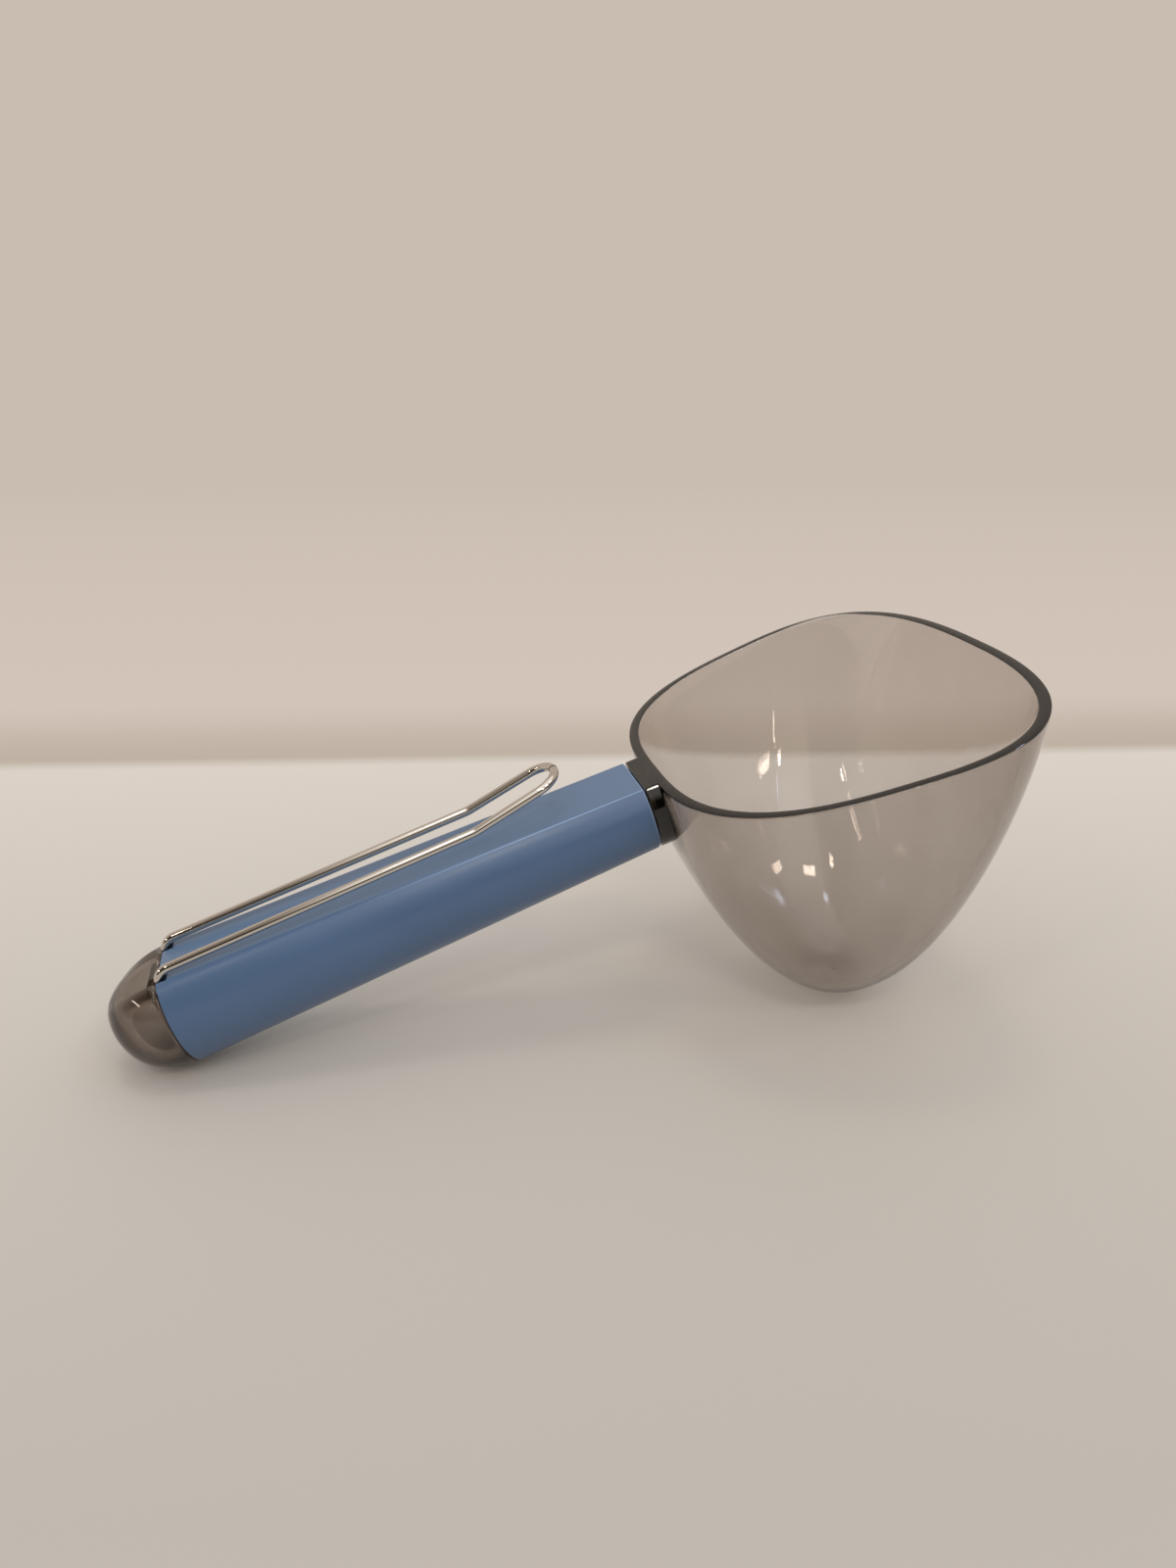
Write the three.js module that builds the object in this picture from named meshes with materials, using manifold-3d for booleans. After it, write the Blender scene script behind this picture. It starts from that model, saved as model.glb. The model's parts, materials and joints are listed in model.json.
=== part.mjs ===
// A pet food scoop: a clear smoke-grey cup on a blue tubular handle, with a domed end cap and a sprung wire
// bag clip. Millimetres, +Z up, +X towards the cup. The scoop stands as it does on a table, on the small flat
// under its cup and on its end cap, with the middle of its footprint at the origin.
import * as THREE from 'three';
import { mergeVertices } from 'three/addons/utils/BufferGeometryUtils.js';
import Module from 'manifold-3d';

const wasm = await Module();
wasm.setup();
const { lerp, degToRad } = THREE.MathUtils;

// Cup: the mouth is a superellipse that widens towards the pouring lip, and the bowl below it is egg-shaped.
const MOUTH_LENGTH = 79.8;
const MOUTH_WIDTH = 98.4;
const MOUTH_FRONT_SQUARENESS = 2.6;
const MOUTH_REAR_SQUARENESS = 3;
const MOUTH_WIDENING = 0.152;
const CUP_DEPTH = 70;
const CUP_SHOULDER = 1.38;
const CUP_BLUNTNESS = 0.5;
const CUP_ROUNDNESS = 2.1;
const CUP_BOTTOM_SETBACK = 9.1;
const CUP_BOTTOM_SWEEP = 0.89;
const CUP_WALL = 2.2;
const FOOT_FLAT_CUT = 0.6;

// Neck and tang: the solid neck joins the cup to the handle, and the tang behind it, hollow but for its root,
// carries the sleeve.
const NECK_LENGTH = 2.9;
const NECK_UNDERCUT = 1;
const TANG_LENGTH = 45;
const TANG_WALL = 1.8;
const TANG_ROOT = 1.5;

// Handle: a tapered round tube with a flat along its top, in the plane of the rim. The crease beside the flat
// is crisp at the front and soft at the rear.
const SLEEVE_LENGTH = 107.2;
const SLEEVE_FRONT_RADIUS = 10.5;
const SLEEVE_REAR_RADIUS = 13.1;
const SLEEVE_FRONT_FLAT = 16.1;
const SLEEVE_REAR_FLAT = 17.3;
const SLEEVE_FRONT_CREASE = 0.6;
const SLEEVE_REAR_CREASE = 2.4;
const SLEEVE_WALL = 2.2;
const SLEEVE_END_ROUND = 0.5;

// End cap: a thick hollow dome, flush with the sleeve, on a plug pressed into the sleeve's rear end. Its pole
// lies above the middle of the round.
const CAP_LENGTH = 13.7;
const CAP_FULLNESS = 2.36;
const CAP_POLE_RAISE = 2.2;
const CAP_CREASE_FADE = 1.5;
const CAP_WALL = 4.2;
const CAP_FLANGE = 2.4;
const PLUG_LENGTH = 14;
const PLUG_WALL = 1.8;
const LUG_LENGTH = 6;

// Bag clip: one sprung wire, its legs hooked into the plug's lug and its looped tip lifted off the flat.
const WIRE_DIAMETER = 2;
const CLIP_REAR_SPACING = 13.2;
const CLIP_BEND_SPACING = 11.6;
const CLIP_TIP_SPACING = 10.7;
const CLIP_REAR_HEIGHT = 1.65;
const CLIP_BEND_HEIGHT = 4.1;
const CLIP_RUN = 70.8;
const CLIP_TIP_RUN = 20.2;
const CLIP_TIP_LIFT = degToRad(11.4);
const CLIP_PIN_LENGTH = 4;
const CLIP_FOOT_BEND = 1.5;
const CLIP_REAR_BEND = 3.2;
const CLIP_LEG_INSET = 0.3;
const CLIP_FRONT_BEND = 6;

// Clearances.
const JOINT_GAP = 0.3;
const FIT_GAP = 0.3;
const PIN_GAP = 0.15;
const LEG_GAP = 0.4;
const LEG_SWING_GAP = 1;

// Cuts run past the face that they open by the overshoot.
const CUT_OVERSHOOT = 1;

// Fineness of the facets. The last ring of a bowl or dome lies this share of a ring short of its pole.
const MOUTH_POINTS = 56;
const CUP_RINGS = 13;
const ARC_POINTS = 28;
const CREASE_POINTS = 3;
const FLAT_POINTS = 6;
const DOME_RINGS = 7;
const WIRE_SIDES = 10;
const WIRE_STEP = 1.4;
const PIN_HOLE_SIDES = 16;
const POLE_SHARE = 0.4;
const TILT_HALVINGS = 50;

// A closed skin over rings of equally many points, with a fan over each end.
function loft(rings) {
  const size = rings[0].length;
  const points = [...rings.flat(), middleOf(rings[0]), middleOf(rings.at(-1))];
  const firstTip = points.length - 2;
  const lastTip = points.length - 1;
  const lastRing = (rings.length - 1) * size;
  const index = [];
  for (let i = 0; i < size; i += 1) {
    const next = (i + 1) % size;
    for (let base = 0; base < lastRing; base += size) {
      index.push(base + i, base + next, base + size + next);
      index.push(base + i, base + size + next, base + size + i);
    }
    index.push(next, i, firstTip);
    index.push(lastRing + i, lastRing + next, lastTip);
  }
  const geometry = new THREE.BufferGeometry().setFromPoints(points);
  geometry.setIndex(facesOutwards(points, index) ? index : index.toReversed());
  return geometry;
}

function middleOf(ring) {
  const sum = new THREE.Vector3();
  ring.forEach((point) => sum.add(point));
  return sum.divideScalar(ring.length);
}

// Whether a closed skin encloses a positive volume, as one whose faces point outwards does.
function facesOutwards(points, index) {
  let volume = 0;
  for (let i = 0; i < index.length; i += 3) {
    const [a, b, c] = [points[index[i]], points[index[i + 1]], points[index[i + 2]]];
    volume += a.dot(b.clone().cross(c));
  }
  return volume > 0;
}

// A geometry as a solid that can be joined and cut.
function solid(geometry) {
  const plain = geometry.clone();
  plain.deleteAttribute('normal');
  plain.deleteAttribute('uv');
  const merged = mergeVertices(plain);
  return new wasm.Manifold(new wasm.Mesh({
    numProp: 3,
    vertProperties: merged.getAttribute('position').array,
    triVerts: Uint32Array.from(merged.index.array),
  }));
}

// A joined or cut solid as a named mesh.
function piece(name, body, material) {
  const { vertProperties, triVerts } = body.getMesh();
  const geometry = new THREE.BufferGeometry();
  geometry.setAttribute('position', new THREE.BufferAttribute(vertProperties, 3));
  geometry.setIndex(new THREE.BufferAttribute(triVerts, 1));
  geometry.computeVertexNormals();
  const mesh = new THREE.Mesh(geometry, material);
  mesh.name = name;
  return mesh;
}

// One level of the bowl, from 0 at the rim to 1 at the bottom, for a bowl thinner all round by inset.
function bowlRing(level, inset) {
  const spread = (1 - level ** CUP_SHOULDER) ** CUP_BLUNTNESS;
  const frontSquareness = lerp(MOUTH_FRONT_SQUARENESS, CUP_ROUNDNESS, level);
  const rearSquareness = lerp(MOUTH_REAR_SQUARENESS, CUP_ROUNDNESS, level);
  const widening = lerp(MOUTH_WIDENING, 0, level);
  const middle = NECK_LENGTH + MOUTH_LENGTH / 2 - CUP_BOTTOM_SETBACK * level ** CUP_BOTTOM_SWEEP;
  const ring = [];
  for (let i = 0; i < MOUTH_POINTS; i += 1) {
    const turn = (i / MOUTH_POINTS) * 2 * Math.PI;
    const squareness = Math.cos(turn) > 0 ? frontSquareness : rearSquareness;
    const along = Math.sign(Math.cos(turn)) * Math.abs(Math.cos(turn)) ** (2 / squareness);
    const across = Math.sign(Math.sin(turn)) * Math.abs(Math.sin(turn)) ** (2 / squareness);
    ring.push(new THREE.Vector3(
      middle + spread * (MOUTH_LENGTH / 2 - inset) * along,
      spread * (MOUTH_WIDTH / 2 - inset) * across * (1 + widening * along),
      -level * (CUP_DEPTH - inset),
    ));
  }
  return ring;
}

// The bowl's levels, closer together where it curves in under itself.
function bowlRings(inset) {
  const rings = [];
  for (let i = 0; i <= CUP_RINGS; i += 1) {
    const spread = Math.cos((i / (CUP_RINGS + POLE_SHARE)) * (Math.PI / 2));
    rings.push(bowlRing((1 - spread ** (1 / CUP_BLUNTNESS)) ** (1 / CUP_SHOULDER), inset));
  }
  return rings;
}

// The handle's round at a station behind the sleeve's front end: its radius, how deep its axis lies under the
// flat, and the radius of the crease between the two.
function handleSize(station) {
  const share = station / SLEEVE_LENGTH;
  const outerRadius = lerp(SLEEVE_FRONT_RADIUS, SLEEVE_REAR_RADIUS, share);
  const halfFlat = lerp(SLEEVE_FRONT_FLAT, SLEEVE_REAR_FLAT, share) / 2;
  const axisDepth = Math.sqrt(outerRadius ** 2 - halfFlat ** 2);
  const crease = lerp(SLEEVE_FRONT_CREASE, SLEEVE_REAR_CREASE, share);
  return { outerRadius, axisDepth, crease };
}

// Points round the handle at a station behind the sleeve's front end: a circle cut by a flat, its crease
// rounded, drawn in all round by inset. The flat lies at z = 0, and the handle runs along -X.
function handleRing(station, inset, x = -JOINT_GAP - station) {
  const { outerRadius, axisDepth, crease } = handleSize(station);
  const radius = outerRadius - inset;
  const creaseDrop = axisDepth - inset - crease;
  const creaseSide = Math.sqrt((radius - crease) ** 2 - creaseDrop ** 2);
  const creaseTurn = Math.atan2(creaseSide, creaseDrop);
  const ring = [];
  const arc = (centreY, centreZ, r, from, to, count) => {
    for (let i = 0; i <= count; i += 1) {
      const turn = lerp(from, to, i / count);
      ring.push(new THREE.Vector3(x, centreY + r * Math.sin(turn), centreZ + r * Math.cos(turn)));
    }
  };
  const round = 2 * Math.PI - creaseTurn;
  const arcStep = (round - creaseTurn) / ARC_POINTS;
  arc(creaseSide, -inset - crease, crease, 0, creaseTurn, CREASE_POINTS);
  arc(0, -axisDepth, radius, creaseTurn + arcStep, round - arcStep, ARC_POINTS - 2);
  arc(-creaseSide, -inset - crease, crease, round, 2 * Math.PI, CREASE_POINTS);
  return ring;
}

// The end cap's dome: the sleeve's rear section, drawn in by inset, shrinking to nothing over its length
// from a start that lies behind the joint by the flange. On the way it turns into an oval of the same height
// and width, so that the crease fades out before the pole.
function domeRings(inset, flange) {
  const start = -2 * JOINT_GAP - SLEEVE_LENGTH - flange;
  const section = handleRing(SLEEVE_LENGTH, inset, start);
  const [flatFrom, flatTo] = [section.at(-1), section[0]];
  for (let i = 1; i < FLAT_POINTS; i += 1) section.push(flatFrom.clone().lerp(flatTo, i / FLAT_POINTS));
  const { outerRadius, axisDepth } = handleSize(SLEEVE_LENGTH);
  const middle = new THREE.Vector3(start, 0, CAP_POLE_RAISE - axisDepth);
  const halfHeight = (outerRadius + axisDepth) / 2;
  const oval = section.map((point) => {
    const up = point.z + halfHeight;
    const stretch = 1 / Math.hypot(point.y / (outerRadius - inset), up / (halfHeight - inset));
    return new THREE.Vector3(start, point.y * stretch, up * stretch - halfHeight);
  });
  const rings = [];
  for (let i = 0; i <= DOME_RINGS; i += 1) {
    const rise = Math.sin((i / (DOME_RINGS + POLE_SHARE)) * (Math.PI / 2));
    const shrink = (1 - rise ** CAP_FULLNESS) ** (1 / CAP_FULLNESS);
    rings.push(section.map((point, j) => {
      const rounded = point.clone().lerp(oval[j], rise ** CAP_CREASE_FADE);
      return middle.clone().lerp(rounded, shrink).setX(start - rise * (CAP_LENGTH - flange - inset));
    }));
  }
  return rings;
}

// A path of straight runs through corner points, each corner turned on its own bend radius.
function bentPath(corners) {
  const path = new THREE.CurvePath();
  let start = corners[0].at;
  for (let i = 1; i < corners.length - 1; i += 1) {
    const corner = corners[i].at;
    const arriving = corner.clone().sub(corners[i - 1].at).normalize();
    const leaving = corners[i + 1].at.clone().sub(corner).normalize();
    const turn = arriving.angleTo(leaving);
    const reach = corners[i].bend * Math.tan(turn / 2);
    const pull = reach - (4 / 3) * Math.tan(turn / 4) * corners[i].bend;
    const from = corner.clone().addScaledVector(arriving, -reach);
    const to = corner.clone().addScaledVector(leaving, reach);
    path.add(new THREE.LineCurve3(start, from));
    path.add(new THREE.CubicBezierCurve3(
      from,
      corner.clone().addScaledVector(arriving, -pull),
      corner.clone().addScaledVector(leaving, pull),
      to,
    ));
    start = to;
  }
  path.add(new THREE.LineCurve3(start, corners.at(-1).at));
  return path;
}

// A box between two corners.
function block(low, high) {
  const size = high.clone().sub(low);
  const middle = low.clone().add(high).divideScalar(2);
  return new THREE.BoxGeometry(size.x, size.y, size.z).translate(middle.x, middle.y, middle.z);
}

// Where the clip's feet turn: across the handle, below the plug's top wall, close to the sleeve's rear end.
const sleeveRear = -JOINT_GAP - SLEEVE_LENGTH;
const boreInset = SLEEVE_WALL + FIT_GAP;
const pivotX = sleeveRear + CLIP_LEG_INSET;
const pinHoleRadius = WIRE_DIAMETER / 2 + PIN_GAP;
const pivotDepth = boreInset + PLUG_WALL + pinHoleRadius;

const smokePlastic = new THREE.MeshStandardMaterial({
  color: 0x8f877d, roughness: 0.12, metalness: 0, transparent: true, opacity: 0.5,
});
const bluePlastic = new THREE.MeshStandardMaterial({ color: 0x4d6e9c, roughness: 0.45, metalness: 0 });
const springSteel = new THREE.MeshStandardMaterial({ color: 0xb9b3aa, roughness: 0.22, metalness: 1 });

// The angle at which the cup, less the cut of its foot flat, and the end cap touch the table together.
function standingTilt(cupPoints, capPoints) {
  let low = 0;
  let high = Math.PI / 4;
  for (let i = 0; i < TILT_HALVINGS; i += 1) {
    const tilt = (low + high) / 2;
    const cupIsLower = lowest(cupPoints, tilt) + FOOT_FLAT_CUT < lowest(capPoints, tilt);
    if (cupIsLower) low = tilt;
    else high = tilt;
  }
  return (low + high) / 2;
}

// The lowest of some points once the scoop is tilted.
function lowest(points, tilt) {
  return Math.min(...points.map((point) => point.x * Math.sin(tilt) + point.z * Math.cos(tilt)));
}

const capPoints = domeRings(0, 0).flat();
const tilt = standingTilt(bowlRings(0).flat(), capPoints);
const tableLevel = lowest(capPoints, tilt);

// The scoop cup: bowl, neck and hollow tang moulded in one.
function scoopCup() {
  const bowl = solid(loft(bowlRings(0)));
  const inside = solid(loft(bowlRings(CUP_WALL)));
  const neckRear = handleRing(0, 0, 0);
  const neckReach = NECK_LENGTH + CUP_WALL + NECK_UNDERCUT;
  const neckDepth = -Math.min(...neckRear.map((point) => point.z));
  const neckFront = neckRear.map((point) => new THREE.Vector3(
    neckReach,
    point.y,
    point.z * (1 - NECK_UNDERCUT / neckDepth),
  ));
  const neck = solid(loft([neckRear, neckFront]));
  const tang = solid(loft([handleRing(0, boreInset, CUP_WALL), handleRing(0, boreInset, -TANG_LENGTH)]));
  const coreInset = boreInset + TANG_WALL;
  const coreRear = -TANG_LENGTH - CUT_OVERSHOOT;
  const core = solid(loft([handleRing(0, coreInset, -TANG_ROOT), handleRing(0, coreInset, coreRear)]));
  const reach = MOUTH_LENGTH + MOUTH_WIDTH;
  const belowTable = block(new THREE.Vector3(-reach, -reach, -CUP_DEPTH), new THREE.Vector3(reach, reach, 0));
  const footCut = belowTable.translate(0, 0, tableLevel).rotateY(tilt);
  return bowl.add(neck).subtract(inside).add(tang).subtract(core).subtract(solid(footCut));
}

// The handle sleeve: a tube with rounded ends, notched at the rear for the clip's legs.
function handleSleeve() {
  const round = SLEEVE_END_ROUND;
  const outside = solid(loft([
    handleRing(0, round),
    handleRing(round * (1 - Math.SQRT1_2), round * (1 - Math.SQRT1_2)),
    handleRing(round, 0),
    handleRing(SLEEVE_LENGTH - round / 2, 0),
    handleRing(SLEEVE_LENGTH, round / 2),
  ]));
  const bore = solid(loft([
    handleRing(-CUT_OVERSHOOT, SLEEVE_WALL),
    handleRing(SLEEVE_LENGTH + CUT_OVERSHOOT, SLEEVE_WALL),
  ]));
  return legSlots(outside.subtract(bore));
}

// Cuts the two slots that the clip's legs pass down and swing in, long enough ahead for the bend above them.
function legSlots(body) {
  const half = WIRE_DIAMETER / 2 + LEG_GAP;
  const sunkBend = Math.max(CLIP_REAR_BEND - CLIP_REAR_HEIGHT, 0);
  const bendReach = CLIP_REAR_BEND - Math.sqrt((CLIP_REAR_BEND - WIRE_DIAMETER / 2) ** 2 - sunkBend ** 2);
  const front = pivotX + bendReach + LEG_GAP;
  const rear = pivotX - WIRE_DIAMETER / 2 - LEG_SWING_GAP;
  let cut = body;
  for (const side of [-1, 1]) {
    const middle = (side * CLIP_REAR_SPACING) / 2;
    cut = cut.subtract(solid(block(
      new THREE.Vector3(rear, middle - half, -pivotDepth - half),
      new THREE.Vector3(front, middle + half, CUT_OVERSHOOT),
    )));
  }
  return cut;
}

// The end cap: hollow dome and plug, with a lug under the plug's top wall that takes the clip's hooked feet.
function endCap() {
  const front = SLEEVE_LENGTH - PLUG_LENGTH;
  const joint = SLEEVE_LENGTH + JOINT_GAP;
  const dome = solid(loft(domeRings(0, 0)));
  const domeInside = solid(loft(domeRings(CAP_WALL, CAP_FLANGE)));
  const plug = solid(loft([handleRing(front, boreInset), handleRing(joint + CAP_FLANGE / 2, boreInset)]));
  const coreInset = boreInset + PLUG_WALL;
  const core = solid(loft([
    handleRing(front - CUT_OVERSHOOT, coreInset),
    handleRing(joint + CAP_FLANGE + CUT_OVERSHOOT, coreInset),
  ]));
  const lugSide = CLIP_REAR_SPACING / 2 - WIRE_DIAMETER / 2 - LEG_GAP - CLIP_FOOT_BEND / 2;
  const lugHalf = LUG_LENGTH / 2;
  const lug = solid(block(
    new THREE.Vector3(pivotX - lugHalf, -lugSide, -pivotDepth - pinHoleRadius - PLUG_WALL),
    new THREE.Vector3(pivotX + lugHalf, lugSide, -boreInset - PLUG_WALL / 2),
  ));
  const facetedRadius = pinHoleRadius / Math.cos(Math.PI / PIN_HOLE_SIDES);
  const pinHole = new THREE.CylinderGeometry(facetedRadius, facetedRadius, CLIP_REAR_SPACING, PIN_HOLE_SIDES)
    .translate(pivotX, 0, -pivotDepth);
  const shell = plug.add(dome).subtract(core).subtract(domeInside);
  return legSlots(shell).add(lug).subtract(solid(pinHole));
}

// The wire clip: pins, legs, the run along the flat and the looped, lifted tip.
function wireClip() {
  const bendX = pivotX + CLIP_RUN;
  const tipX = bendX + CLIP_TIP_RUN;
  const tipHeight = CLIP_BEND_HEIGHT + CLIP_TIP_RUN * Math.tan(CLIP_TIP_LIFT);
  const rearSide = CLIP_REAR_SPACING / 2;
  const half = (side) => [
    { at: new THREE.Vector3(pivotX, side * (rearSide - CLIP_PIN_LENGTH), -pivotDepth) },
    { at: new THREE.Vector3(pivotX, side * rearSide, -pivotDepth), bend: CLIP_FOOT_BEND },
    { at: new THREE.Vector3(pivotX, side * rearSide, CLIP_REAR_HEIGHT), bend: CLIP_REAR_BEND },
    { at: new THREE.Vector3(bendX, (side * CLIP_BEND_SPACING) / 2, CLIP_BEND_HEIGHT), bend: CLIP_FRONT_BEND },
    { at: new THREE.Vector3(tipX, (side * CLIP_TIP_SPACING) / 2, tipHeight), bend: tipBend() },
  ];
  const path = bentPath([...half(1), ...half(-1).reverse()]);
  const section = [];
  for (let i = 0; i < WIRE_SIDES; i += 1) {
    const turn = (i / WIRE_SIDES) * 2 * Math.PI;
    section.push(new THREE.Vector2(Math.cos(turn), Math.sin(turn)).multiplyScalar(WIRE_DIAMETER / 2));
  }
  const geometry = new THREE.ExtrudeGeometry(new THREE.Shape(section), {
    extrudePath: path,
    steps: Math.ceil(path.getLength() / WIRE_STEP),
  });
  return solid(geometry);
}

// The radius that turns the narrowing legs round into one loop, with no straight run across the tip.
function tipBend() {
  const narrowing = (CLIP_BEND_SPACING - CLIP_TIP_SPACING) / 2;
  const turn = Math.PI / 2 + Math.atan2(narrowing, CLIP_TIP_RUN / Math.cos(CLIP_TIP_LIFT));
  return CLIP_TIP_SPACING / 2 / Math.tan(turn / 2);
}

const handle = new THREE.Group();
handle.add(piece('handle_sleeve', handleSleeve(), bluePlastic));
handle.add(piece('end_cap', endCap(), smokePlastic.clone()));
handle.add(piece('wire_clip', wireClip(), springSteel));

// Stood on the table, over the origin.
const scoop = new THREE.Group();
scoop.add(piece('scoop_cup', scoopCup(), smokePlastic), handle);
scoop.rotation.y = -tilt;
const bounds = new THREE.Box3().setFromObject(scoop, true);
const footprint = bounds.getCenter(new THREE.Vector3());
scoop.position.set(-footprint.x, -footprint.y, -bounds.min.z);

export default scoop;
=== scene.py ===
# A pet food scoop as it stands on a table: a clear smoke-grey cup on a blue tubular handle, with a domed
# end cap and a sprung wire bag clip. Metres, +Z up and +X towards the cup, in the frame of the packed
# model.
import json
from math import atan2, ceil, cos, hypot, pi, radians, sin, sqrt, tan

import bmesh
import bpy
from mathutils import Matrix, Vector


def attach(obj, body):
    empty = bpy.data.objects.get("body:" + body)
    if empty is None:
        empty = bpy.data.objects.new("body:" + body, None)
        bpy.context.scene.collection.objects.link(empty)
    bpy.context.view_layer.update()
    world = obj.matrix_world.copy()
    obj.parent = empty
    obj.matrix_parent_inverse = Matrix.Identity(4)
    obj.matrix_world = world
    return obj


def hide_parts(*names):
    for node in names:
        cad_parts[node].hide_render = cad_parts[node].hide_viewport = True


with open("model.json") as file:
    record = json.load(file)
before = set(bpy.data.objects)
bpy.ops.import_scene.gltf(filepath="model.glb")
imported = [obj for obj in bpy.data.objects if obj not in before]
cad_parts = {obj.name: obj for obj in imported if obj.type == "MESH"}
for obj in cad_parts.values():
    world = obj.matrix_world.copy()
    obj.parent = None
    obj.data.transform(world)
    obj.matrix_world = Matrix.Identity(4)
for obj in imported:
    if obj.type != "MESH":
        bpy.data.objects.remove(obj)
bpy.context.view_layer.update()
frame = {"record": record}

# Scoop cup. An egg-shaped bowl with a flat land round its mouth, moulded in one piece with the short neck
# behind it and the hollow tang that the handle is pushed onto, in clear smoke-grey SAN. It is drawn in its
# own frame, with the rim in the plane z = 0 and the neck's rear face at x = 0, and then stood up.
MOUTH_LENGTH = 0.0798
MOUTH_WIDTH = 0.0984
MOUTH_FRONT_SQUARENESS = 2.6
MOUTH_REAR_SQUARENESS = 3.0
MOUTH_WIDENING = 0.152
CUP_DEPTH = 0.070
CUP_SHOULDER = 1.38
CUP_BLUNTNESS = 0.5
CUP_ROUNDNESS = 2.1
CUP_BOTTOM_SETBACK = 0.0091
CUP_BOTTOM_SWEEP = 0.89
CUP_WALL = 0.0022
RIM_ROUND = 0.0003
RIM_ROUND_STEPS = 3
CUP_POINTS = 200
CUP_RINGS = 44
POLE_STEP = 0.5
NECK_LENGTH = 0.0029
NECK_REACH = 0.0041
NECK_ROUND = 0.0002
TANG_LENGTH = 0.045
TANG_WALL = 0.0018
TANG_ROOT = 0.0015
SLEEVE_LENGTH = 0.1072
SLEEVE_WALL = 0.0022
FRONT_RADIUS = 0.0105
REAR_RADIUS = 0.0131
FRONT_FLAT = 0.0161
REAR_FLAT = 0.0173
FRONT_CREASE = 0.0006
REAR_CREASE = 0.0024
FLAT_MARGIN = 0.0003
ARC_POINTS = 90
CREASE_POINTS = 8
FIT_GAP = 0.0003
JOINT_GAP = 0.0003
PIVOT_INSET = 0.0003
PIVOT_X = -JOINT_GAP - SLEEVE_LENGTH + PIVOT_INSET
PIVOT_Z = -0.00545
GATE_X = 0.031
GATE_DEPTH = 0.0692
GATE_RADIUS = 0.0008
GATE_RECESS = 0.0004
GATE_SIDES = 24
SHARP_ANGLE = radians(32)
SMOKE_TINT = "#997F64"
SMOKE_DENSITY = 200.0
SMOKE_IOR = 1.55
SURFACE_PASS = 0.95
# The neck's painted shade: the share of colour it leaves, where its ball sits and how far it reaches.
NECK_PAINTED_SHADE_PASS = 0.10
NECK_MIDDLE_DEPTH = 0.0092
NECK_SHADE_REACH = (0.0112, 0.0130, 0.0130)
NECK_SHADE_EDGE = 0.15
RUB_SIZE = 0.012
RUB_START = 0.35
RUB_FULL = 0.75
RUB_ROUGHNESS = 0.035
SMUDGE_PASS = 0.965
WAVE_SIZE = 0.004
WAVE_DEPTH = 0.00001

record = frame["record"]
mount_axis = {mount["name"]: Vector(mount["axis"]) for mount in record["mounts"]}
rim_up = mount_axis["rim_land"]
lean = Matrix.Rotation(-atan2(-rim_up.x, rim_up.z), 4, "Y")
along_handle = lean @ Vector((1, 0, 0))
clip_hinge = Vector(record["behaviour"]["joints"][0]["pos_m"])
standing = Matrix.Translation(clip_hinge - lean @ Vector((PIVOT_X, 0, PIVOT_Z))) @ lean


def mix(start, end, share):
    return start + (end - start) * share


def bowl_ring(level, inset):
    """The points round the bowl, drawn in by inset, at a level from 0 at the rim to 1 at the bottom."""
    spread = (1 - level ** CUP_SHOULDER) ** CUP_BLUNTNESS
    middle = NECK_LENGTH + MOUTH_LENGTH / 2 - CUP_BOTTOM_SETBACK * level ** CUP_BOTTOM_SWEEP
    points = []
    for i in range(CUP_POINTS):
        turn = 2 * pi * i / CUP_POINTS
        corner = MOUTH_FRONT_SQUARENESS if cos(turn) > 0 else MOUTH_REAR_SQUARENESS
        power = mix(corner, CUP_ROUNDNESS, level)
        reach = (abs(cos(turn)) ** power + abs(sin(turn)) ** power) ** (-1 / power)
        along = reach * cos(turn)
        across = reach * sin(turn) * (1 + MOUTH_WIDENING * (1 - level) * along)
        points.append((
            middle + spread * (MOUTH_LENGTH / 2 - inset) * along,
            spread * (MOUTH_WIDTH / 2 - inset) * across,
            -level * (CUP_DEPTH - inset),
        ))
    return points


def handle_ring(station, inset, x=None):
    """The points round the handle, drawn in by inset, at a station behind the sleeve's front end: a circle
    cut by a flat at z = 0, with the crease between them rounded."""
    share = station / SLEEVE_LENGTH
    radius = mix(FRONT_RADIUS, REAR_RADIUS, share)
    axis_depth = sqrt(radius ** 2 - (mix(FRONT_FLAT, REAR_FLAT, share) / 2) ** 2)
    crease = mix(FRONT_CREASE, REAR_CREASE, share)
    radius -= inset
    drop = axis_depth - inset - crease
    side = sqrt((radius - crease) ** 2 - drop ** 2)
    first = atan2(side, drop)
    last = 2 * pi - first
    x = -JOINT_GAP - station if x is None else x
    points = [(x, side - FLAT_MARGIN, -inset)]
    for centre_y, centre_z, bend, start, end, steps, skipped in (
        (side, -inset - crease, crease, 0, first, CREASE_POINTS, 0),
        (0, -axis_depth, radius, first, last, ARC_POINTS, 1),
        (-side, -inset - crease, crease, last, 2 * pi, CREASE_POINTS, 0),
    ):
        for i in range(skipped, steps + 1 - skipped):
            turn = mix(start, end, i / steps)
            points.append((x, centre_y + bend * sin(turn), centre_z + bend * cos(turn)))
    points.append((x, FLAT_MARGIN - side, -inset))
    return points


def first_ring(bm, points):
    """A closed ring of edges through some points. Each vertex keeps its order round the ring."""
    order = bm.verts.layers.int.new("order")
    verts = bmesh.ops.create_circle(bm, segments=len(points), radius=1)["verts"]
    for i, vert in enumerate(verts):
        vert[order] = i
        vert.co = points[i]
    return list({edge for vert in verts for edge in vert.link_edges})


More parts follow.
